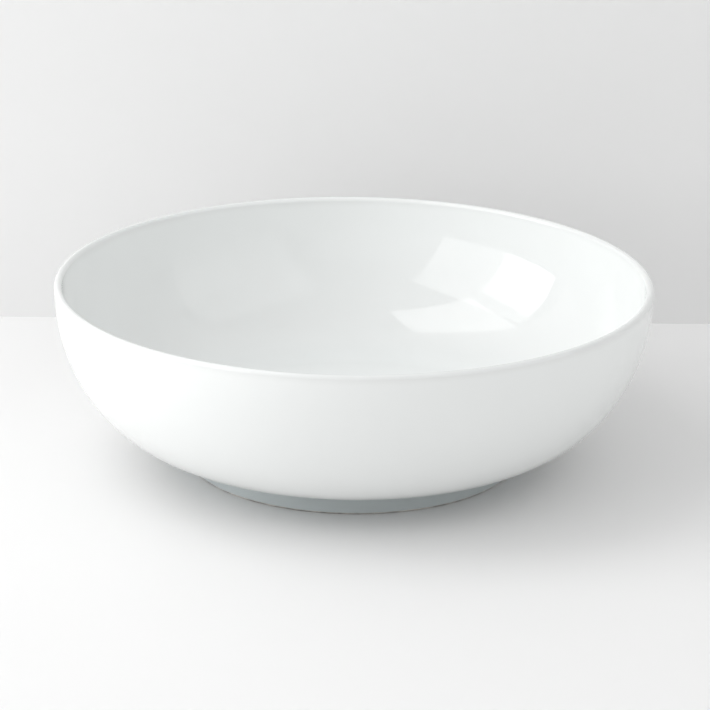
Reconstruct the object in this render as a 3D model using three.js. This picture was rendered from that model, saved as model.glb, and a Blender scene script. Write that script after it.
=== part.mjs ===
// A porcelain serving bowl: one wide round bowl with a deep curved wall and a low foot ring.
//
// Firing makes the whole bowl one rigid piece, but it is put together from layers that stay
// distinct all its life. Each of them is a mesh here:
//   porcelain_body  the wall and floor, bare fired porcelain under the glaze
//   foot_ring       the ring that is turned under the floor, with a bare standing edge
//   outer_glaze     the film over the lip, the outside and the outside of the foot
//   inner_glaze     the film over the inside
//   base_glaze      the film in the recess inside the foot
//
// Millimetres, +Z up. The origin is on the table, under the middle of the foot.

import * as THREE from 'three';

// ---- Driving dimensions ----

const MOUTH_RADIUS = 150; // outside of the wall at the lip
const BOWL_HEIGHT = 93.8; // table to the top of the lip
const LIP_THICKNESS = 4; // the lip is a half round of this thickness
const BASE_THICKNESS = 6; // where the wall runs into the floor
const LEVEL_RADIUS = 87.8; // where the curve of the outside runs level
const BASE_LEVEL = 12.6; // height of the outside there, which is also the recess's ceiling
const FLOOR_DISH = 1.5; // how far the floor falls to its middle

const FOOT_RADIUS = 84.6; // the outside of the foot is plumb
const FOOT_INSIDE_TOP = 77; // the inside of the foot leans out a little on its way down
const FOOT_INSIDE_BOTTOM = 80;
const FOOT_EDGE_ROUND = 1; // each corner of the standing edge
const RECESS_FILLET = 2; // where the recess's ceiling meets the foot

const GLAZE_THICKNESS = 0.3;
const GLAZE_STOP = 1; // the glaze is wiped away below this height
const FILM_GAP = 0.02; // a film keeps this far from the porcelain it covers

const SEGMENTS = 48; // facets around the axis
const WALL_STEPS = 10;
const FLOOR_STEPS = 4;
const LIP_STEPS = 6;
const FILLET_STEPS = 3;
const EDGE_STEPS = 2;

// ---- Sizes that follow from them ----

const LIP_RADIUS = LIP_THICKNESS / 2;
const LIP_LEVEL = BOWL_HEIGHT - LIP_RADIUS; // the wall is plumb here, and the half round starts
const WALL_REACH = MOUTH_RADIUS - LEVEL_RADIUS; // half axes of the wall's quarter ellipse
const WALL_DROP = LIP_LEVEL - BASE_LEVEL;
const FLOOR_LEVEL = BASE_LEVEL + BASE_THICKNESS;
const FOOT_FILLET = LEVEL_RADIUS - FOOT_RADIUS; // runs from the level outside to the plumb foot
const BACK_DEPTH = GLAZE_THICKNESS - FILM_GAP; // the back of a film, from the glazed surface
const QUARTER_TURN = Math.PI / 2;

// ---- Outlines: each point is (distance from the axis, height above the table) ----

const at = (radius, height) => new THREE.Vector2(radius, height);

// Part of a circle, from one angle to another, both ends included.
function arc(centre, radius, startAngle, endAngle, steps) {
  const line = [];
  for (let step = 0; step <= steps; step++) {
    const angle = THREE.MathUtils.lerp(startAngle, endAngle, step / steps);
    line.push(at(centre.x + radius * Math.cos(angle), centre.y + radius * Math.sin(angle)));
  }
  return line;
}

// The glazed outside is a quarter ellipse: turn 0 is the lip, a quarter turn is the level base.
// Depth is measured into the wall, square to the outside.
function wallPoint(turn, depth) {
  const onOutside = at(LEVEL_RADIUS + WALL_REACH * Math.cos(turn), LIP_LEVEL - WALL_DROP * Math.sin(turn));
  const inward = at(-Math.cos(turn) / WALL_REACH, Math.sin(turn) / WALL_DROP).normalize();
  return onOutside.addScaledVector(inward, depth);
}

// The wall thickens smoothly from the lip to the base.
function wallThickness(turn) {
  return THREE.MathUtils.lerp(LIP_THICKNESS, BASE_THICKNESS, Math.sin(turn) ** 2);
}

// One layer of the wall, from the lip down.
function wallLine(depthAt) {
  const line = [];
  for (let step = 0; step <= WALL_STEPS; step++) {
    const turn = (QUARTER_TURN * step) / WALL_STEPS;
    line.push(wallPoint(turn, depthAt(turn)));
  }
  return line;
}

// One layer of the floor, from its edge to the axis. The glazed surface has depth 0.
function floorLine(depth) {
  const line = [];
  for (let step = 1; step <= FLOOR_STEPS; step++) {
    const radius = LEVEL_RADIUS * (1 - step / FLOOR_STEPS);
    const dish = (FLOOR_DISH * (1 + Math.cos((Math.PI * radius) / LEVEL_RADIUS))) / 2;
    line.push(at(radius, FLOOR_LEVEL - dish - depth));
  }
  return line;
}

// One layer of the lip, from the outside over the top to the inside.
function lipLine(depth) {
  return arc(at(MOUTH_RADIUS - LIP_RADIUS, LIP_LEVEL), LIP_RADIUS - depth, 0, Math.PI, LIP_STEPS);
}

// The glazed inside of the foot.
function footInsideRadius(height) {
  return THREE.MathUtils.lerp(FOOT_INSIDE_BOTTOM, FOOT_INSIDE_TOP, height / BASE_LEVEL);
}

// ---- The five layers ----

// Underside from the axis, outside, lip, inside, and the floor back to the axis.
function bodyOutline() {
  return [
    at(0, BASE_LEVEL + GLAZE_THICKNESS),
    ...wallLine(() => GLAZE_THICKNESS).reverse(),
    ...lipLine(GLAZE_THICKNESS).slice(1),
    ...wallLine((turn) => wallThickness(turn) - GLAZE_THICKNESS).slice(1),
    ...floorLine(GLAZE_THICKNESS),
  ];
}

// Standing edge from its inner corner, outside, and back down the inside.
function footOutline() {
  const outside = FOOT_RADIUS - GLAZE_THICKNESS;
  const insideTop = footInsideRadius(BASE_LEVEL) + GLAZE_THICKNESS;
  const insideBottom = footInsideRadius(FOOT_EDGE_ROUND) + GLAZE_THICKNESS;
  const innerCorner = at(insideBottom + FOOT_EDGE_ROUND, FOOT_EDGE_ROUND);
  const outerCorner = at(outside - FOOT_EDGE_ROUND, FOOT_EDGE_ROUND);
  return [
    ...arc(innerCorner, FOOT_EDGE_ROUND, Math.PI, 3 * QUARTER_TURN, EDGE_STEPS),
    ...arc(outerCorner, FOOT_EDGE_ROUND, -QUARTER_TURN, 0, EDGE_STEPS),
    at(outside, BASE_LEVEL + GLAZE_THICKNESS),
    at(insideTop, BASE_LEVEL + GLAZE_THICKNESS),
    at(insideBottom, FOOT_EDGE_ROUND),
  ];
}

// Up the foot, the outside and the lip, then back down against the porcelain.
function outerGlazeOutline() {
  const filletCentre = at(LEVEL_RADIUS, BASE_LEVEL - FOOT_FILLET);
  const back = FOOT_RADIUS - BACK_DEPTH;
  return [
    at(FOOT_RADIUS, GLAZE_STOP),
    ...arc(filletCentre, FOOT_FILLET, Math.PI, QUARTER_TURN, FILLET_STEPS),
    ...wallLine(() => 0).reverse().slice(1),
    ...lipLine(0).slice(1),
    ...lipLine(BACK_DEPTH).reverse(),
    ...wallLine(() => BACK_DEPTH).slice(1),
    at(back, BASE_LEVEL + BACK_DEPTH),
    at(back, GLAZE_STOP),
    at(FOOT_RADIUS, GLAZE_STOP),
  ];
}

// Against the porcelain from the axis up to the lip, then down the glazed surface to the axis.
function innerGlazeOutline() {
  return [
    ...floorLine(BACK_DEPTH).reverse(),
    ...wallLine((turn) => wallThickness(turn) - BACK_DEPTH).reverse(),
    ...wallLine(wallThickness),
    ...floorLine(0),
  ];
}

// The recess's ceiling and the foot's inside, then back against the porcelain.
function baseGlazeOutline() {
  const filletRadius = footInsideRadius(BASE_LEVEL - RECESS_FILLET) - RECESS_FILLET;
  return [
    at(0, BASE_LEVEL),
    ...arc(at(filletRadius, BASE_LEVEL - RECESS_FILLET), RECESS_FILLET, QUARTER_TURN, 0, FILLET_STEPS),
    at(footInsideRadius(GLAZE_STOP), GLAZE_STOP),
    at(footInsideRadius(GLAZE_STOP) + BACK_DEPTH, GLAZE_STOP),
    at(footInsideRadius(BASE_LEVEL) + BACK_DEPTH, BASE_LEVEL + BACK_DEPTH),
    at(0, BASE_LEVEL + BACK_DEPTH),
  ];
}

// ---- Materials and assembly ----

// The lathe turns its outlines about Y, and this group stands that axis upright.
const bowl = new THREE.Group();
bowl.rotation.x = QUARTER_TURN;

function addLayer(name, outline, color, roughness) {
  const material = new THREE.MeshStandardMaterial({ color, roughness, metalness: 0 });
  const mesh = new THREE.Mesh(new THREE.LatheGeometry(outline, SEGMENTS), material);
  mesh.name = name;
  bowl.add(mesh);
}

addLayer('porcelain_body', bodyOutline(), 0xf0eee8, 0.8);
addLayer('foot_ring', footOutline(), 0xe9e5dc, 0.85);
addLayer('outer_glaze', outerGlazeOutline(), 0xf5f6f4, 0.1);
addLayer('inner_glaze', innerGlazeOutline(), 0xf5f6f4, 0.1);
addLayer('base_glaze', baseGlazeOutline(), 0xf3f4f1, 0.15);

export default bowl;
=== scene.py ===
# %% [markdown]
# # A porcelain serving bowl
# This is a white serving bowl about 30 cm across: a deep curved wall, a rounded lip and a low foot
# ring. It is one fired piece, but it is made in layers, and each layer is a piece here: the bare
# body, the foot that is turned under it, and three films of clear glaze. Every layer is round, so
# one Geometry Nodes tree shapes them all. The looks are then nearly all in the glaze: white on
# white only reads through its reflections, so the lights matter as much as the material.

from math import cos, pi, radians, sin, tan

import bmesh
import bpy
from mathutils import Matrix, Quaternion, Vector


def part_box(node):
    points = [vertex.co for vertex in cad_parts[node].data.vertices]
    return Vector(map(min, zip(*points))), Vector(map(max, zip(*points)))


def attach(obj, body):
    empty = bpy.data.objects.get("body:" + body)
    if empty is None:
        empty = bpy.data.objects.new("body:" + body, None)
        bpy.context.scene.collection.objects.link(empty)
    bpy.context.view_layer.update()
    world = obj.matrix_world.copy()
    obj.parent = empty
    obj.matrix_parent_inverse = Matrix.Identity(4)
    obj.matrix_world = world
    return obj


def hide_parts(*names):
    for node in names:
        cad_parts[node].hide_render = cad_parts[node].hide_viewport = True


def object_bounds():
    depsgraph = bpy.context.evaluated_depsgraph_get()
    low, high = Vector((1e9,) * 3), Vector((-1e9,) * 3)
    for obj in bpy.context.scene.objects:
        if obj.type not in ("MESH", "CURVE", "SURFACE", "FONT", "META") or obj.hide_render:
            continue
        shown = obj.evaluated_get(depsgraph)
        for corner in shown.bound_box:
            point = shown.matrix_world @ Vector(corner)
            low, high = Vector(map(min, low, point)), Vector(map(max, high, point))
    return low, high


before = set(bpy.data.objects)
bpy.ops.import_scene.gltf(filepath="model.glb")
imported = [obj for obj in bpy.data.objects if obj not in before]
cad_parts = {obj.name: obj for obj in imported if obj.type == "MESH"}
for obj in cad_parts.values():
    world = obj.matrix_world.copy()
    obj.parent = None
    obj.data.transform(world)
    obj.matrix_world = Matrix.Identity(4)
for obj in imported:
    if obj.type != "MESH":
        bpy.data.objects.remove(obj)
cad_low, cad_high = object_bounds()
print("CAD box in mm:", [round(1000 * c, 2) for c in (*cad_low, *cad_high)])

# %% [markdown]
# ## The camera
# A long lens some way off keeps the bowl's ellipses calm, as in catalogue pictures. The camera
# looks down at about 19 degrees, aims just above the middle of the bowl, and is rolled by half a
# degree, as a hand-levelled one is.

# %% Camera
VIEW_DISTANCE = 1.5
VIEW_ELEVATION = radians(19.1)
VIEW_ROLL = radians(0.62)
AIM_OFFSET = Vector((0.0008, 0.0, 0.006))
LENS_MM = 150.2
SENSOR_MM = 36.0


def make_camera():
    middle = (cad_low + cad_high) / 2
    back = Vector((0, -cos(VIEW_ELEVATION), sin(VIEW_ELEVATION)))
    data = bpy.data.cameras.new("catalogue_camera")
    data.lens = LENS_MM
    data.sensor_width = SENSOR_MM
    camera = bpy.data.objects.new("catalogue_camera", data)
    camera.location = middle + VIEW_DISTANCE * back
    sight = middle + AIM_OFFSET - camera.location
    roll = Quaternion((0, 0, 1), VIEW_ROLL)
    camera.rotation_mode = "QUATERNION"
    camera.rotation_quaternion = sight.to_track_quat("-Z", "Y") @ roll
    bpy.context.scene.collection.objects.link(camera)
    bpy.context.scene.camera = camera
    return camera


camera = make_camera()
print("camera at", [round(c, 3) for c in camera.location])

# %% [markdown]
# ## The bowl's sizes
# The frame gives most sizes: a film of glaze is as thick as the step between the glazed and the
# bare outside, the lip's half round starts where the inside film stops, and the foot's ring has
# its own box. The few that no box shows, such as where the outside runs level, are named here.

# %% Sizes
foot_low, foot_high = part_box("foot_ring")
body_low, body_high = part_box("porcelain_body")

MOUTH_RADIUS = cad_high.x
BOWL_HEIGHT = cad_high.z
GLAZE = MOUTH_RADIUS - body_high.x
FILM_GAP = 0.00002
LIP_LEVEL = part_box("inner_glaze")[1].z
LIP_RADIUS = BOWL_HEIGHT - LIP_LEVEL
BASE_LEVEL = body_low.z - GLAZE
FOOT_RADIUS = foot_high.x + GLAZE
GLAZE_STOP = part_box("outer_glaze")[0].z

LEVEL_RADIUS = 0.0878
BASE_THICKNESS = 0.006
FLOOR_DISH = 0.0015
FOOT_INSIDE_TOP = 0.077
FOOT_INSIDE_BOTTOM = 0.080
FOOT_EDGE_ROUND = 0.001
RECESS_FILLET = 0.002

WALL_REACH = MOUTH_RADIUS - LEVEL_RADIUS
WALL_DROP = LIP_LEVEL - BASE_LEVEL
FLOOR_LEVEL = BASE_LEVEL + BASE_THICKNESS
FOOT_FILLET = LEVEL_RADIUS - FOOT_RADIUS
BACK_DEPTH = GLAZE - FILM_GAP
print(f"glaze {1000 * GLAZE:.2f} mm, lip {2000 * LIP_RADIUS:.2f} mm, foot {2000 * FOOT_RADIUS:.1f} mm")

# %% [markdown]
# ## Outlines
# A potter shapes such a bowl with a template: a blade with the outline of the wall, held against
# the turning clay. Here a template is a list of points, each a distance from the axis and a height.
# Straight typing of points would lose the curve, so the wall is a quarter of an ellipse and the lip,
# fillets and edges are arcs. Points crowd towards the ends of each stretch, so that shading runs
# smoothly from one stretch, or one film, to the next.

# %% Outline helpers
WALL_STEPS = 84
FLOOR_STEPS = 24
LIP_STEPS = 28
FILLET_STEPS = 12
BEAD_STEPS = 8


def crowded(steps):
    """Fractions from 0 to 1 that crowd towards both ends."""
    return [(1 - cos(pi * step / steps)) / 2 for step in range(steps + 1)]


def arc(centre, radius, start, end, steps):
    angles = [start + (end - start) * fraction for fraction in crowded(steps)]
    return [(centre[0] + radius * cos(a), centre[1] + radius * sin(a)) for a in angles]


def wall_point(turn, depth):
    """A point on the wall: turn 0 is the lip, a quarter turn is the level base."""
    outward = Vector((cos(turn) / WALL_REACH, -sin(turn) / WALL_DROP)).normalized()
    radius = LEVEL_RADIUS + WALL_REACH * cos(turn) - depth * outward.x
    height = LIP_LEVEL - WALL_DROP * sin(turn) - depth * outward.y
    return radius, height


def wall_thickness(turn):
    return 2 * LIP_RADIUS + (BASE_THICKNESS - 2 * LIP_RADIUS) * sin(turn) ** 2


def wall_line(depth_at):
    turns = [pi / 2 * fraction for fraction in crowded(WALL_STEPS)]
    return [wall_point(turn, depth_at(turn)) for turn in turns]


def floor_line(depth):
    """The dished floor, from its edge to the axis."""
    line = []
    for step in range(1, FLOOR_STEPS + 1):
        inwards = step / FLOOR_STEPS
        dish = FLOOR_DISH * (1 - cos(pi * inwards)) / 2
        line.append((LEVEL_RADIUS * (1 - inwards), FLOOR_LEVEL - dish - depth))
    return line


def lip_line(depth):
    """The half round of the lip, from the outside to the inside."""
    return arc((MOUTH_RADIUS - LIP_RADIUS, LIP_LEVEL), LIP_RADIUS - depth, 0, pi, LIP_STEPS)


def foot_inside(height):
    return FOOT_INSIDE_BOTTOM + (FOOT_INSIDE_TOP - FOOT_INSIDE_BOTTOM) * height / BASE_LEVEL


# %% [markdown]
# ### The five templates
# The bare body and foot are cut 0.3 mm inside the glazed outline. Each film of glaze runs along
# the glazed surface and comes back against the clay, so it is a thin closed shell, and its free
# edge above the table is rolled into a small bead, as melted glaze draws itself up.

# %% Templates
def body_outline():
    return [
        (0, BASE_LEVEL + GLAZE),
        *wall_line(lambda turn: GLAZE)[::-1],
        *lip_line(GLAZE)[1:],
        *wall_line(lambda turn: wall_thickness(turn) - GLAZE)[1:],
        *floor_line(GLAZE),
    ]


def foot_outline():
    outside = FOOT_RADIUS - GLAZE
    inside = foot_inside(FOOT_EDGE_ROUND) + GLAZE
    inner_corner = (inside + FOOT_EDGE_ROUND, FOOT_EDGE_ROUND)
    outer_corner = (outside - FOOT_EDGE_ROUND, FOOT_EDGE_ROUND)
    return [
        *arc(inner_corner, FOOT_EDGE_ROUND, pi, 3 * pi / 2, FILLET_STEPS),
        *arc(outer_corner, FOOT_EDGE_ROUND, -pi / 2, 0, FILLET_STEPS),
        (outside, BASE_LEVEL + GLAZE),
        (foot_inside(BASE_LEVEL) + GLAZE, BASE_LEVEL + GLAZE),
    ]


def outside_outline():
    bead = BACK_DEPTH / 2
    return [
        *arc((FOOT_RADIUS - bead, GLAZE_STOP + bead), bead, pi, 2 * pi, BEAD_STEPS),
        *arc((LEVEL_RADIUS, BASE_LEVEL - FOOT_FILLET), FOOT_FILLET, pi, pi / 2, FILLET_STEPS),
        *wall_line(lambda turn: 0)[::-1][1:],
        *lip_line(0)[1:],
        *lip_line(BACK_DEPTH)[::-1],
        *wall_line(lambda turn: BACK_DEPTH)[1:],
        (FOOT_RADIUS - BACK_DEPTH, BASE_LEVEL + BACK_DEPTH),
    ]


def inside_outline():
    return [
        *floor_line(BACK_DEPTH)[::-1],
        *wall_line(lambda turn: wall_thickness(turn) - BACK_DEPTH)[::-1],
        *wall_line(wall_thickness),
        *floor_line(0),
    ]


def recess_outline():
    bead = BACK_DEPTH / 2
    fillet_radius = foot_inside(BASE_LEVEL - RECESS_FILLET) - RECESS_FILLET
    bead_centre = (foot_inside(GLAZE_STOP) + bead, GLAZE_STOP + bead)
    return [
        (0, BASE_LEVEL),
        *arc((fillet_radius, BASE_LEVEL - RECESS_FILLET), RECESS_FILLET, pi / 2, 0, FILLET_STEPS),
        *arc(bead_centre, bead, pi, 2 * pi, BEAD_STEPS),
        (foot_inside(BASE_LEVEL) + BACK_DEPTH, BASE_LEVEL + BACK_DEPTH),
        (0, BASE_LEVEL + BACK_DEPTH),
    ]


# %% [markdown]
# ## Node helper
# Both the shaping and the finishes are node trees. This helper adds one node, links the inputs
# that are given as sockets and sets the others as values.

# %% Node helper
def node(tree, kind, inputs=None, **settings):
    made = tree.nodes.new(kind)
    for name, value in settings.items():
        setattr(made, name, value)
    for key, value in (inputs or {}).items():
        if isinstance(value, bpy.types.NodeSocket):
            tree.links.new(value, made.inputs[key])
        else:
            made.inputs[key].default_value = value
    return made


def calc(tree, operation, *values):
    return node(tree, "ShaderNodeMath", dict(enumerate(values)), operation=operation).outputs[0]


# %% [markdown]
# ## The jigger
# A jigger turns the clay under the template. The tree does the same: it sweeps the template round
# a circle, merges the doubled points on the axis into a clean pole, and lets the kiln pull the
# soft clay a fraction of a millimetre out of true. That last step fades out towards the foot,
# so the bowl still stands level. A Spin or Screw modifier could turn the template too, but the
# tree keeps the sizes as named inputs and one warp for all five layers, which stay nested.

# %% The jigger tree
def jigger_tree():
    tree = bpy.data.node_groups.new("Jigger", "GeometryNodeTree")
    for name, kind in (
        ("Template", "NodeSocketObject"),
        ("Rail Radius", "NodeSocketFloat"),
        ("Facets Around", "NodeSocketInt"),
        ("Kiln Warp", "NodeSocketFloat"),
        ("Warp Scale", "NodeSocketFloat"),
        ("Warp Start", "NodeSocketFloat"),
        ("Warp Full", "NodeSocketFloat"),
        ("Crease Angle", "NodeSocketFloat"),
        ("Finish", "NodeSocketMaterial"),
    ):
        tree.interface.new_socket(name, in_out="INPUT", socket_type=kind)
    tree.interface.new_socket("Geometry", in_out="OUTPUT", socket_type="NodeSocketGeometry")
    given = node(tree, "NodeGroupInput").outputs

    template = node(tree, "GeometryNodeObjectInfo", {"Object": given["Template"]})
    inward = node(tree, "ShaderNodeCombineXYZ", {"X": calc(tree, "MULTIPLY", given["Rail Radius"], -1)})
    blade = node(
        tree, "GeometryNodeTransform",
        {"Geometry": template.outputs["Geometry"], "Translation": inward.outputs[0]},
    )
    rail = node(
        tree, "GeometryNodeCurvePrimitiveCircle",
        {"Resolution": given["Facets Around"], "Radius": given["Rail Radius"]},
    )
    turned = node(
        tree, "GeometryNodeCurveToMesh",
        {"Curve": rail.outputs["Curve"], "Profile Curve": blade.outputs[0]},
    )
    stood_up = node(
        tree, "GeometryNodeTransform", {"Geometry": turned.outputs[0], "Rotation": (pi, 0, 0)}
    )
    merged = node(tree, "GeometryNodeMergeByDistance", {"Geometry": stood_up.outputs[0], "Distance": 1e-6})

    place = node(tree, "GeometryNodeInputPosition").outputs[0]
    height = node(tree, "ShaderNodeSeparateXYZ", {"Vector": place}).outputs["Z"]
    level = node(tree, "ShaderNodeVectorMath", {0: place, 1: (1, 1, 0)}, operation="MULTIPLY")
    outward = node(tree, "ShaderNodeVectorMath", {0: level.outputs[0]}, operation="NORMALIZE")
    pull = node(
        tree, "ShaderNodeTexNoise",
        {"Vector": place, "Scale": given["Warp Scale"], "Detail": 1.0}, noise_dimensions="3D",
    )
    fade = node(
        tree, "ShaderNodeMapRange",
        {"Value": height, "From Min": given["Warp Start"], "From Max": given["Warp Full"]},
        interpolation_type="SMOOTHSTEP",
    )
    centred = calc(tree, "SUBTRACT", pull.outputs["Fac"], 0.5)
    amount = calc(tree, "MULTIPLY", calc(tree, "MULTIPLY", centred, given["Kiln Warp"]), fade.outputs[0])
    offset = node(
        tree, "ShaderNodeVectorMath", {0: outward.outputs[0], "Scale": amount}, operation="SCALE"
    )
    warped = node(
        tree, "GeometryNodeSetPosition", {"Geometry": merged.outputs[0], "Offset": offset.outputs[0]}
    )

    smooth = node(tree, "GeometryNodeSetShadeSmooth", {"Geometry": warped.outputs[0]})
    bend = node(tree, "GeometryNodeInputMeshEdgeAngle").outputs["Unsigned Angle"]
    sharp = node(tree, "FunctionNodeCompare", {0: bend, 1: given["Crease Angle"]}, operation="GREATER_THAN")
    creased = node(
        tree, "GeometryNodeSetShadeSmooth",
        {"Geometry": smooth.outputs[0], "Selection": sharp.outputs[0], "Shade Smooth": False},
        domain="EDGE",
    )
    real = node(tree, "GeometryNodeRealizeInstances", {"Geometry": creased.outputs[0]})
    finished = node(
        tree, "GeometryNodeSetMaterial",
        {"Geometry": real.outputs[0], "Material": given["Finish"]},
    )
    node(tree, "NodeGroupOutput", {"Geometry": finished.outputs[0]})
    return tree


JIGGER = jigger_tree()
print("jigger tree:", len(JIGGER.nodes), "nodes")

# %% [markdown]
# ### Using the jigger
# Each layer is an empty object with the tree on it as a modifier. The tree's inputs are set first,
# then Blender works out the result once, and that result is kept as a plain mesh. 256 facets keep
# the lip's outline smooth at this size. An edge that bends by more than the crease angle stays
# sharp, and everything softer is shaded smooth.

# %% Turning a template into a piece
RAIL_RADIUS = 0.075
FACETS_AROUND = 256
KILN_WARP = 0.0005
WARP_SCALE = 9.0
CREASE_ANGLE = radians(35)


def template_object(name, outline, closed):
    curve = bpy.data.curves.new(name, "CURVE")
    curve.dimensions = "3D"
    spline = curve.splines.new("POLY")
    spline.points.add(len(outline) - 1)
    for point, (radius, height) in zip(spline.points, outline):
        point.co = (radius, height, 0, 1)
    spline.use_cyclic_u = closed
    template = bpy.data.objects.new(name, curve)
    bpy.context.scene.collection.objects.link(template)
    return template


def turn_piece(name, outline, closed, finish):
    """Sweeps a template round the axis and keeps the result as a plain mesh."""
    template = template_object(name + "_template", outline, closed)
    piece = bpy.data.objects.new(name, bpy.data.meshes.new(name + "_blank"))
    bpy.context.scene.collection.objects.link(piece)
    modifier = piece.modifiers.new("Jigger", "NODES")
    modifier.node_group = JIGGER
    settings = {
        "Template": template,
        "Rail Radius": RAIL_RADIUS,
        "Facets Around": FACETS_AROUND,
        "Kiln Warp": KILN_WARP,
        "Warp Scale": WARP_SCALE,
        "Warp Start": BASE_LEVEL,
        "Warp Full": BOWL_HEIGHT,
        "Crease Angle": CREASE_ANGLE,
        "Finish": finish,
    }
    for socket in JIGGER.interface.items_tree:
        if socket.name in settings:
            modifier[socket.identifier] = settings[socket.name]
    bpy.context.view_layer.update()
    graph = bpy.context.evaluated_depsgraph_get()
    mesh = bpy.data.meshes.new_from_object(piece.evaluated_get(graph))
    piece.modifiers.clear()
    piece.data = mesh
    mesh.name = name
    bpy.data.objects.remove(template)
    return piece


# %% [markdown]
# ## Finishes: the shared effects
# Porcelain has few effects, but each shows up on several layers: slow waves and pinholes in the
# glaze, a tint where the glaze lies thick, painted shade on the lip and above the foot, rings left
# by the turning tool, the grain of the clay, and the marks of use. Each is a node group, built once,
# that puts out only a mask, a colour or a height. The materials decide what each one drives. The
# groups read Object coordinates, and every piece has its origin under the middle of the foot, so an
# effect runs on from layer to layer.

# %% Helpers for shader groups
def effect(name, inputs, outputs):
    """An empty shader group with its sockets, and the two nodes at its ends."""
    tree = bpy.data.node_groups.new(name, "ShaderNodeTree")
    for socket, kind, value in inputs:
        made = tree.interface.new_socket(socket, in_out="INPUT", socket_type="NodeSocket" + kind)
        if value is not None:
            made.default_value = value
    for socket, kind in outputs:
        tree.interface.new_socket(socket, in_out="OUTPUT", socket_type="NodeSocket" + kind)
    return tree, node(tree, "NodeGroupInput").outputs, node(tree, "NodeGroupOutput").inputs


def noise(tree, place, scale, detail=2.0, **inputs):
    values = {"Vector": place, "Scale": scale, "Detail": detail, **inputs}
    return node(tree, "ShaderNodeTexNoise", values).outputs["Fac"]


def ramp(tree, value, low, high, start=0.0, end=1.0):
    """A smooth step from start to end while the value goes from low to high."""
    values = {"Value": value, "From Min": low, "From Max": high, "To Min": start, "To Max": end}
    return node(tree, "ShaderNodeMapRange", values, interpolation_type="SMOOTHSTEP").outputs[0]


def from_axis(tree, place):
    """Distance from the bowl's axis, and height above the table."""
    parts = node(tree, "ShaderNodeSeparateXYZ", {"Vector": place}).outputs
    squares = calc(tree, "ADD", calc(tree, "POWER", parts["X"], 2), calc(tree, "POWER", parts["Y"], 2))
    return calc(tree, "SQRT", squares), parts["Z"]


# %% [markdown]
# ### Glaze surface
# Melted glaze levels itself, but not quite: long shallow waves bend its reflections, and a gas
# bubble here and there leaves a pinhole. The waves are noise a few centimetres long. A pinhole is
# a cell of a Voronoi pattern, kept only where a second noise is high, since pinholes come few and
# in clusters.

# %% Glaze surface group
CLUSTER_SCALE = 31.0
PINHOLE_DEPTH = 0.12


def glaze_surface_group():
    tree, given, out = effect(
        "Glaze Surface",
        [("Place", "Vector", None), ("Wave Scale", "Float", 22.0), ("Pinhole Scale", "Float", 260.0),
         ("Pinhole Size", "Float", 0.07), ("Pinhole Rarity", "Float", 0.66)],
        [("Height", "Float"), ("Pinholes", "Float")],
    )
    waves = noise(tree, given["Place"], given["Wave Scale"], 1.5)
    cells = node(
        tree, "ShaderNodeTexVoronoi", {"Vector": given["Place"], "Scale": given["Pinhole Scale"]}
    )
    near = calc(tree, "LESS_THAN", cells.outputs["Distance"], given["Pinhole Size"])
    clusters = noise(tree, given["Place"], CLUSTER_SCALE, 0.0)
    rare = calc(tree, "GREATER_THAN", clusters, given["Pinhole Rarity"])
    pinholes = calc(tree, "MULTIPLY", near, rare)
    height = calc(tree, "SUBTRACT", waves, calc(tree, "MULTIPLY", pinholes, PINHOLE_DEPTH))
    tree.links.new(height, out["Height"])
    tree.links.new(pinholes, out["Pinholes"])
    return tree


# %% [markdown]
# ### Glaze tint and painted shade
# Clear glaze over white porcelain is faintly green-blue where it lies thick: in the corner above
# the foot, in the recess and over the floor. On the outside the same mask also paints shade: the
# band above the foot is coloured far darker, as painted shade under the belly. A second mask paints
# shade on the lip, so the lip is a shade greyer. Both masks follow height, broken up by noise; the
# first does so because glaze pools wherever the bowl is lowest in the kiln.

# %% Glaze tint and shade group
DRIFT_SCALE = 14.0
DRIFT_REACH = 0.02


def glaze_tint_and_shade_group():
    tree, given, out = effect(
        "Glaze Tint And Shade",
        [("Place", "Vector", None), ("Pool Top", "Float", 0.024), ("Pool Bottom", "Float", 0.011),
         ("Lip Shade From", "Float", 0.0885), ("Lip Shade To", "Float", 0.0938), ("Unevenness", "Float", 0.35)],
        [("Pool Tint And Shade", "Float"), ("Lip Shade", "Float")],
    )
    _, height = from_axis(tree, given["Place"])
    drift = calc(tree, "SUBTRACT", noise(tree, given["Place"], DRIFT_SCALE, 3.0), 0.5)
    shift = calc(tree, "MULTIPLY", calc(tree, "MULTIPLY", drift, given["Unevenness"]), DRIFT_REACH)
    uneven = calc(tree, "ADD", height, shift)
    pool_tint_and_shade = ramp(tree, uneven, given["Pool Bottom"], given["Pool Top"], 1.0, 0.0)
    lip_shade = ramp(tree, uneven, given["Lip Shade From"], given["Lip Shade To"])
    tree.links.new(pool_tint_and_shade, out["Pool Tint And Shade"])
    tree.links.new(lip_shade, out["Lip Shade"])
    return tree


# %% [markdown]
# ### Turning rings
# The foot and recess are cut with a loop tool while the bowl spins. The tool leaves fine rings
# round the axis, which are soft under glaze and crisp on bare clay. The rings are noise that
# reads only distance from the axis and height, so it can't vary around the bowl.

# %% Turning rings group
def turning_rings_group():
    tree, given, out = effect(
        "Turning Rings",
        [("Place", "Vector", None), ("Rings per Metre", "Float", 620.0)],
        [("Height", "Float")],
    )
    distance, height = from_axis(tree, given["Place"])
    section = node(tree, "ShaderNodeCombineXYZ", {"X": distance, "Y": height}).outputs[0]
    rings = noise(tree, section, given["Rings per Metre"], 2.0)
    tree.links.new(rings, out["Height"])
    return tree


# %% [markdown]
# ### Clay grain
# Fired porcelain without glaze is a fine, dense stone with a slight tooth, and now and then a
# speck of iron from the clay. Two noises give the tooth, and rare Voronoi cells give the specks.

# %% Clay grain group
MOTTLE_SCALE = 70.0


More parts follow.
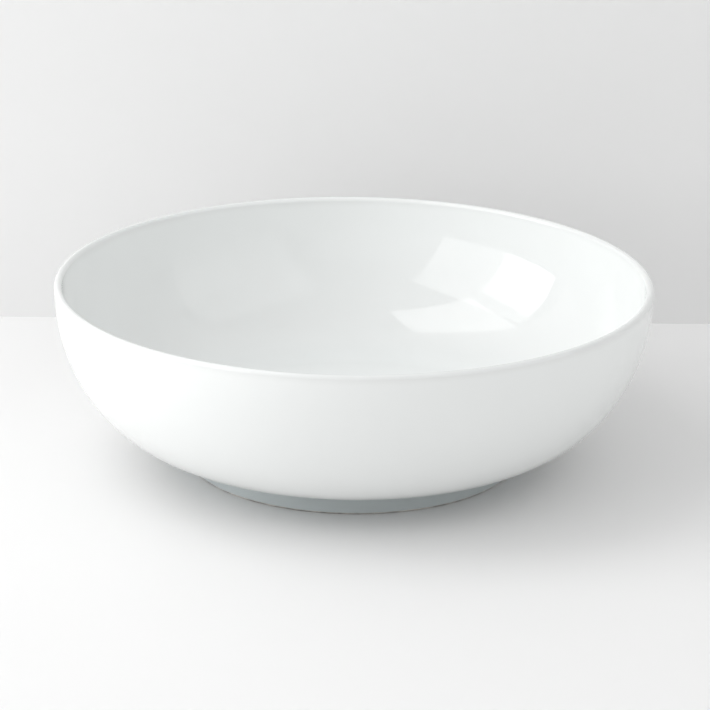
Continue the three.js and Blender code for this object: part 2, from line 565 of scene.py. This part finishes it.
def clay_grain_group():
    tree, given, out = effect(
        "Clay Grain",
        [("Place", "Vector", None), ("Grain Scale", "Float", 2600.0), ("Speck Scale", "Float", 420.0),
         ("Speck Size", "Float", 0.09)],
        [("Height", "Float"), ("Specks", "Float"), ("Mottle", "Float")],
    )
    fine = noise(tree, given["Place"], given["Grain Scale"], 3.0)
    mottle = noise(tree, given["Place"], MOTTLE_SCALE, 3.0)
    cells = node(tree, "ShaderNodeTexVoronoi", {"Vector": given["Place"], "Scale": given["Speck Scale"]})
    specks = calc(tree, "LESS_THAN", cells.outputs["Distance"], given["Speck Size"])
    tree.links.new(fine, out["Height"])
    tree.links.new(specks, out["Specks"])
    tree.links.new(mottle, out["Mottle"])
    return tree


# %% [markdown]
# ### Marks of use
# A clean bowl still carries its use: fingertips and a dishcloth leave broad, faint smears, and
# cutlery leaves hairline scratches. Neither colours the glaze. They only dull the reflection a
# little, so the group puts out masks for the roughness. A scratch is a stretched noise, kept only
# along the line where it crosses its own middle value.

# %% Marks of use group
SCRATCH_LEAN = (0.4, 0.2, 0.7)
SCRATCH_STRETCH = (1, 0.12, 1)
SMEAR_RANGE = (0.45, 0.75)
SCRATCHED_SCALE = 9.0
SCRATCHED_RANGE = (0.55, 0.62)


def use_marks_group():
    tree, given, out = effect(
        "Marks of Use",
        [("Place", "Vector", None), ("Smear Scale", "Float", 16.0), ("Scratch Scale", "Float", 70.0),
         ("Scratch Width", "Float", 0.006)],
        [("Smears", "Float"), ("Scratches", "Float")],
    )
    smears = ramp(tree, noise(tree, given["Place"], given["Smear Scale"], 5.0), *SMEAR_RANGE)
    drawn_out = node(
        tree, "ShaderNodeMapping",
        {"Vector": given["Place"], "Rotation": SCRATCH_LEAN, "Scale": SCRATCH_STRETCH},
    ).outputs[0]
    field = noise(tree, drawn_out, given["Scratch Scale"], 0.0)
    off_line = calc(tree, "ABSOLUTE", calc(tree, "SUBTRACT", field, 0.5))
    line = calc(tree, "LESS_THAN", off_line, given["Scratch Width"])
    patches = ramp(tree, noise(tree, given["Place"], SCRATCHED_SCALE, 1.0), *SCRATCHED_RANGE)
    tree.links.new(smears, out["Smears"])
    tree.links.new(calc(tree, "MULTIPLY", line, patches), out["Scratches"])
    return tree


GLAZE_SURFACE = glaze_surface_group()
GLAZE_TINT_AND_SHADE = glaze_tint_and_shade_group()
TURNING_RINGS = turning_rings_group()
CLAY_GRAIN = clay_grain_group()
USE_MARKS = use_marks_group()
print("effect groups:", [group.name for group in bpy.data.node_groups if group.type == "SHADER"])

# %% [markdown]
# ## Glaze material
# Glaze is glass: a mirror-like surface over white. A white diffuse base under a smooth dielectric
# gives that in one Principled shader, and stays opaque, which suits a body that lets no light
# through here. Subsurface scattering was left out, because a film 0.3 mm thick gives it nothing to
# scatter in. One function makes all three glazes, and only the amounts differ: the inside has the
# scratches, the outside the smears, and the recess the rings of the turning tool.

# %% Glaze material
GLAZE_WHITE = (0.797, 0.811, 0.805, 1)
GLAZE_POOLED = (0.778, 0.798, 0.793, 1)
# Painted shade and pool tint: this colour makes the outside above the foot far darker, for the shade under
# the belly.
GLAZE_POOL_TINT_AND_FOOT_SHADE = (0.455, 0.495, 0.500, 1)
# Painted shade: this colour makes the lip a shade greyer.
GLAZE_LIP_SHADE = (0.742, 0.753, 0.748, 1)
GLAZE_IOR = 1.5


# A Mix node has a set of sockets for each kind of value; these are the ones for colours.
MIX_AMOUNT, MIX_FIRST, MIX_SECOND, MIX_RESULT = 0, 6, 7, 2
WAVE_HEIGHT = 0.00012
RING_HEIGHT = 0.00003
GLAZE_GLOSS = 0.035
PINHOLE_DULLNESS = 0.2


def blend(tree, amount, first, second):
    """A colour mix whose amount is a mask."""
    inputs = {MIX_AMOUNT: amount, MIX_FIRST: first, MIX_SECOND: second}
    return node(tree, "ShaderNodeMix", inputs, data_type="RGBA").outputs[MIX_RESULT]


def use(tree, group, place, **inputs):
    """Puts a shared effect into a material and returns its outputs."""
    made = tree.nodes.new("ShaderNodeGroup")
    made.node_tree = group
    tree.links.new(place, made.inputs["Place"])
    for name, value in inputs.items():
        made.inputs[name.replace("_", " ")].default_value = value
    return made.outputs


def weighted_sum(tree, *terms):
    """Adds up (value, weight) pairs."""
    total = 0.0
    for value, weight in terms:
        total = calc(tree, "MULTIPLY_ADD", value, weight, total)
    return total


def start_material(name):
    material = bpy.data.materials.new(name)
    material.use_nodes = True
    tree = material.node_tree
    place = node(tree, "ShaderNodeTexCoord").outputs["Object"]
    return material, tree, tree.nodes["Principled BSDF"].inputs, place


def emboss(tree, height):
    """Heights are in metres, so a bump is as deep as it says."""
    return node(tree, "ShaderNodeBump", {"Strength": 1.0, "Distance": 1.0, "Height": height}).outputs[0]


def glaze(name, pool_tone_and_shade, pool, smears, scratches, rings):
    material, tree, shader, place = start_material(name)
    surface = use(tree, GLAZE_SURFACE, place)
    tint_and_shade = use(tree, GLAZE_TINT_AND_SHADE, place, **pool)
    marks = use(tree, USE_MARKS, place)
    turning = use(tree, TURNING_RINGS, place)
    # With the outside's colour, this blend paints shade above the foot. On the other glazes it is pool
    # tint.
    pool_tint_and_shade = blend(tree, tint_and_shade["Pool Tint And Shade"], GLAZE_WHITE, pool_tone_and_shade)
    # This blend paints shade on the lip.
    tree.links.new(blend(tree, tint_and_shade["Lip Shade"], pool_tint_and_shade, GLAZE_LIP_SHADE), shader["Base Color"])
    dullness = weighted_sum(
        tree,
        (marks["Smears"], smears),
        (marks["Scratches"], scratches),
        (surface["Pinholes"], PINHOLE_DULLNESS),
    )
    tree.links.new(calc(tree, "ADD", dullness, GLAZE_GLOSS), shader["Roughness"])
    height = weighted_sum(
        tree, (surface["Height"], WAVE_HEIGHT), (turning["Height"], RING_HEIGHT * rings)
    )
    tree.links.new(emboss(tree, height), shader["Normal"])
    shader["IOR"].default_value = GLAZE_IOR
    return material


# On the outside, the pool zone is where the painted shade above the foot lies.
FOOT_POOL_AND_SHADE = {"Pool_Top": 0.0145, "Pool_Bottom": 0.0105, "Unevenness": 0.08}
ON_FLOOR = {"Pool_Top": 0.032, "Pool_Bottom": 0.017}
IN_RECESS = {"Pool_Top": 0.024, "Pool_Bottom": 0.011}

outside_glaze = glaze("outside_glaze", GLAZE_POOL_TINT_AND_FOOT_SHADE, FOOT_POOL_AND_SHADE, smears=0.025, scratches=0.02, rings=0.0)
inside_glaze = glaze("inside_glaze", GLAZE_POOLED, ON_FLOOR, smears=0.015, scratches=0.10, rings=0.0)
recess_glaze = glaze("recess_glaze", GLAZE_POOLED, IN_RECESS, smears=0.05, scratches=0.0, rings=1.0)
print("glazes:", outside_glaze.name, inside_glaze.name, recess_glaze.name)

# %% [markdown]
# ## Bare porcelain
# The kiln shelf would stick to glaze, so the potter wipes it off the standing edge, and bare clay
# shows there: white, dry and a little warm. Its lowest millimetre is painted with contact shadow,
# darkest at the bottom and in noisy patches, which draws a thin dark line where the bowl meets the
# table. The same clay lies under all the glaze, without the painted shadow.

# %% Bare porcelain material
CLAY_WHITE = (0.79, 0.775, 0.74, 1)
CLAY_WARM = (0.73, 0.70, 0.645, 1)
CLAY_SPECK = (0.42, 0.36, 0.29, 1)
# Painted contact shadow: the dark colour of the foot's lowest millimetre, where it meets the table.
CLAY_CONTACT_SHADOW = (0.17, 0.168, 0.163, 1)
GRAIN_HEIGHT = 0.00002
CONTACT_SHADOW_TOP = 0.0016
CONTACT_SHADOW_SCALE = 120.0
CONTACT_SHADOW_PATCHES = (0.36, 0.6, 0.4, 1.0)
MOTTLE_RANGE = (0.35, 0.7)
CLAY_DRYNESS = 0.74
MOTTLE_DRYNESS = 0.12
RUB_POLISH = -0.25


def bare_clay(name, contact_shadow_amount, rings):
    material, tree, shader, place = start_material(name)
    grain = use(tree, CLAY_GRAIN, place)
    turning = use(tree, TURNING_RINGS, place)
    color = blend(tree, ramp(tree, grain["Mottle"], *MOTTLE_RANGE), CLAY_WHITE, CLAY_WARM)
    color = blend(tree, grain["Specks"], color, CLAY_SPECK)
    _, height = from_axis(tree, place)
    # Painted contact shadow: a mask that is darkest at the table and patchy with noise.
    touching = ramp(tree, height, 0.0, CONTACT_SHADOW_TOP, 1.0, 0.0)
    patchy = ramp(tree, noise(tree, place, CONTACT_SHADOW_SCALE, 4.0), *CONTACT_SHADOW_PATCHES)
    contact_shadow = calc(tree, "MULTIPLY", calc(tree, "MULTIPLY", touching, patchy), contact_shadow_amount)
    tree.links.new(blend(tree, contact_shadow, color, CLAY_CONTACT_SHADOW), shader["Base Color"])
    dryness = weighted_sum(tree, (grain["Mottle"], MOTTLE_DRYNESS), (contact_shadow, RUB_POLISH))
    tree.links.new(calc(tree, "ADD", dryness, CLAY_DRYNESS), shader["Roughness"])
    tooth = weighted_sum(
        tree, (grain["Height"], GRAIN_HEIGHT), (turning["Height"], RING_HEIGHT * rings)
    )
    tree.links.new(emboss(tree, tooth), shader["Normal"])
    return material


foot_biscuit = bare_clay("foot_biscuit", contact_shadow_amount=1.0, rings=1.0)
bare_porcelain = bare_clay("bare_porcelain", contact_shadow_amount=0.0, rings=0.5)
print("clays:", foot_biscuit.name, bare_porcelain.name)

# %% [markdown]
# ## The five layers
# Each template goes through the jigger with its finish. The replaced CAD layers are hidden, and
# each new mesh is measured: a film with an open edge, or one that is inside out, would show here
# as open edges or as a negative volume. The replaced CAD layers stay as the collision shapes, and
# each new mesh is measured: a film with an open edge, or one that is inside out, would show here
# as open edges or as a negative volume.

# %% Make the layers
def report(piece):
    work = bmesh.new()
    work.from_mesh(piece.data)
    open_edges = sum(not edge.is_manifold for edge in work.edges)
    volume = work.calc_volume(signed=True)
    print(f"{piece.name}: {len(work.faces)} faces, {open_edges} open edges, {1e6 * volume:.1f} cm3")
    work.free()


body = turn_piece("bare_body", body_outline(), False, bare_porcelain)
foot = turn_piece("turned_foot", foot_outline(), True, foot_biscuit)
outside = turn_piece("outside_film", outside_outline(), True, outside_glaze)
inside = turn_piece("inside_film", inside_outline(), False, inside_glaze)
recess = turn_piece("recess_film", recess_outline(), False, recess_glaze)

for piece, replaced, slot in (
    (body, "porcelain_body", "bare_porcelain"),
    (foot, "foot_ring", "foot_biscuit"),
    (outside, "outer_glaze", "outside_glaze"),
    (inside, "inner_glaze", "inside_glaze"),
    (recess, "base_glaze", "recess_glaze"),
):
    report(piece)
    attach(piece, "root")
    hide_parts(replaced)

# %% [markdown]
# ## The stage
# The bowl stands on a pale table with a pale wall a hand's breadth behind it. Both are plain, since
# only the bowl matters, but they do half of the lighting: their bounce fills the shade under the
# belly, and the foot is dark because it sees only the shadowed table, and because painted shade
# darkens its glaze. The wall is painted on its front alone. Its back lets light and sight through,
# so the bowl can be looked at from behind.

# %% Stage
WALL_AT = 0.217
WALL_LEFT = -0.7
WALL_RIGHT = 2.0
WALL_TOP = 1.5
TABLE_REACH = 4.0
TABLE_TONE = (0.81, 0.808, 0.807)
WALL_TONE = (0.76, 0.759, 0.758)


def paint(name, tone, roughness):
    material = bpy.data.materials.new(name)
    material.use_nodes = True
    shader = material.node_tree.nodes["Principled BSDF"].inputs
    shader["Base Color"].default_value = (*tone, 1)
    shader["Roughness"].default_value = roughness
    return material


def clear_the_back(material):
    tree = material.node_tree
    behind = node(tree, "ShaderNodeNewGeometry").outputs["Backfacing"]
    clear = node(tree, "ShaderNodeBsdfTransparent").outputs[0]
    painted = tree.nodes["Principled BSDF"].outputs[0]
    either = node(tree, "ShaderNodeMixShader", {0: behind, 1: painted, 2: clear}).outputs[0]
    tree.links.new(either, tree.nodes["Material Output"].inputs["Surface"])


def stage_plane(name, corners, material):
    mesh = bpy.data.meshes.new(name)
    mesh.from_pydata(corners, [], [(0, 1, 2, 3)])
    mesh.materials.append(material)
    plane = bpy.data.objects.new(name, mesh)
    bpy.context.scene.collection.objects.link(plane)
    return plane


table_paint = paint("table_paint", TABLE_TONE, 0.5)
wall_paint = paint("wall_paint", WALL_TONE, 0.8)
clear_the_back(wall_paint)
reach = TABLE_REACH
table_corners = [(-reach, -reach, 0), (reach, -reach, 0), (reach, reach, 0), (-reach, reach, 0)]
stage_plane("table", table_corners, table_paint)
wall_corners = [
    (WALL_LEFT, WALL_AT, 0),
    (WALL_RIGHT, WALL_AT, 0),
    (WALL_RIGHT, WALL_AT, WALL_TOP),
    (WALL_LEFT, WALL_AT, WALL_TOP),
]
stage_plane("wall", wall_corners, wall_paint)
print(f"wall {1000 * WALL_AT:.0f} mm behind the axis")

# %% [markdown]
# ## Lights
# The bowl is lit as by a large soft window low on its left, next to the corner of the room, and a
# smaller one above it that lights the inside. The low window is nested panels, so that its
# reflection fades to one side. It makes the bright inside on the right, the long fall-off over the
# belly and the dark right end of the foot. A dim tall area to the right and front is the rest of
# the room: it lifts the shade and draws faint straight-edged reflections in the glaze. Area lights
# suit this better than a painted sky, because glaze mirrors their edges. Each panel is given by
# the part of the dome that it covers, in degrees, and by its brightness, so a change of size
# doesn't change its reflection.

# %% Lights
LIGHT_DISTANCE = 1.6
LIGHT_AIM = Vector((0, 0, 0.05))
DAYLIGHT = (1.0, 1.0, 1.0)
ROOM_TINT = (0.995, 1.0, 1.0)
PANELS = (
    # name, turned from the back towards the right, raised above the table, brightness, tint
    ("window", (-98, -84), (1, 30), 0.5, DAYLIGHT),
    ("window_side", (-113, -84), (1, 38), 1.8, DAYLIGHT),
    ("window_glow", (-145, -84), (1, 48), 1.55, DAYLIGHT),
    ("high_window", (-125, -65), (46, 78), 2.2, DAYLIGHT),
    ("room", (92, 152), (1, 58), 0.6, ROOM_TINT),
    ("bounce_card", (62, 125), (18, 37), 0.3, ROOM_TINT),
    ("front_fill", (160, 225), (1, 30), 0.2, ROOM_TINT),
)
ROOM_BRIGHTNESS = 0.59


def panel(name, turns, rises, brightness, tint):
    turn = radians(sum(turns) / 2)
    rise = radians(sum(rises) / 2)
    place = LIGHT_DISTANCE * Vector((sin(turn) * cos(rise), cos(turn) * cos(rise), sin(rise)))
    data = bpy.data.lights.new(name, "AREA")
    data.shape = "RECTANGLE"
    data.size = 2 * LIGHT_DISTANCE * tan(radians(turns[1] - turns[0]) / 2) * cos(rise)
    data.size_y = 2 * LIGHT_DISTANCE * tan(radians(rises[1] - rises[0]) / 2)
    data.energy = pi * data.size * data.size_y * brightness
    data.color = tint
    light = bpy.data.objects.new(name, data)
    light.location = place
    light.rotation_mode = "QUATERNION"
    light.rotation_quaternion = (LIGHT_AIM - place).to_track_quat("-Z", "Y")
    light.visible_camera = False
    bpy.context.scene.collection.objects.link(light)
    print(f"{name}: {data.size:.2f} x {data.size_y:.2f} m, {data.energy:.1f} W")


for settings in PANELS:
    panel(*settings)

world = bpy.data.worlds.new("room")
world.use_nodes = True
room = world.node_tree.nodes["Background"].inputs
room["Color"].default_value = (*ROOM_TINT, 1)
room["Strength"].default_value = ROOM_BRIGHTNESS
bpy.context.scene.world = world
bpy.context.scene.view_settings.view_transform = "Standard"
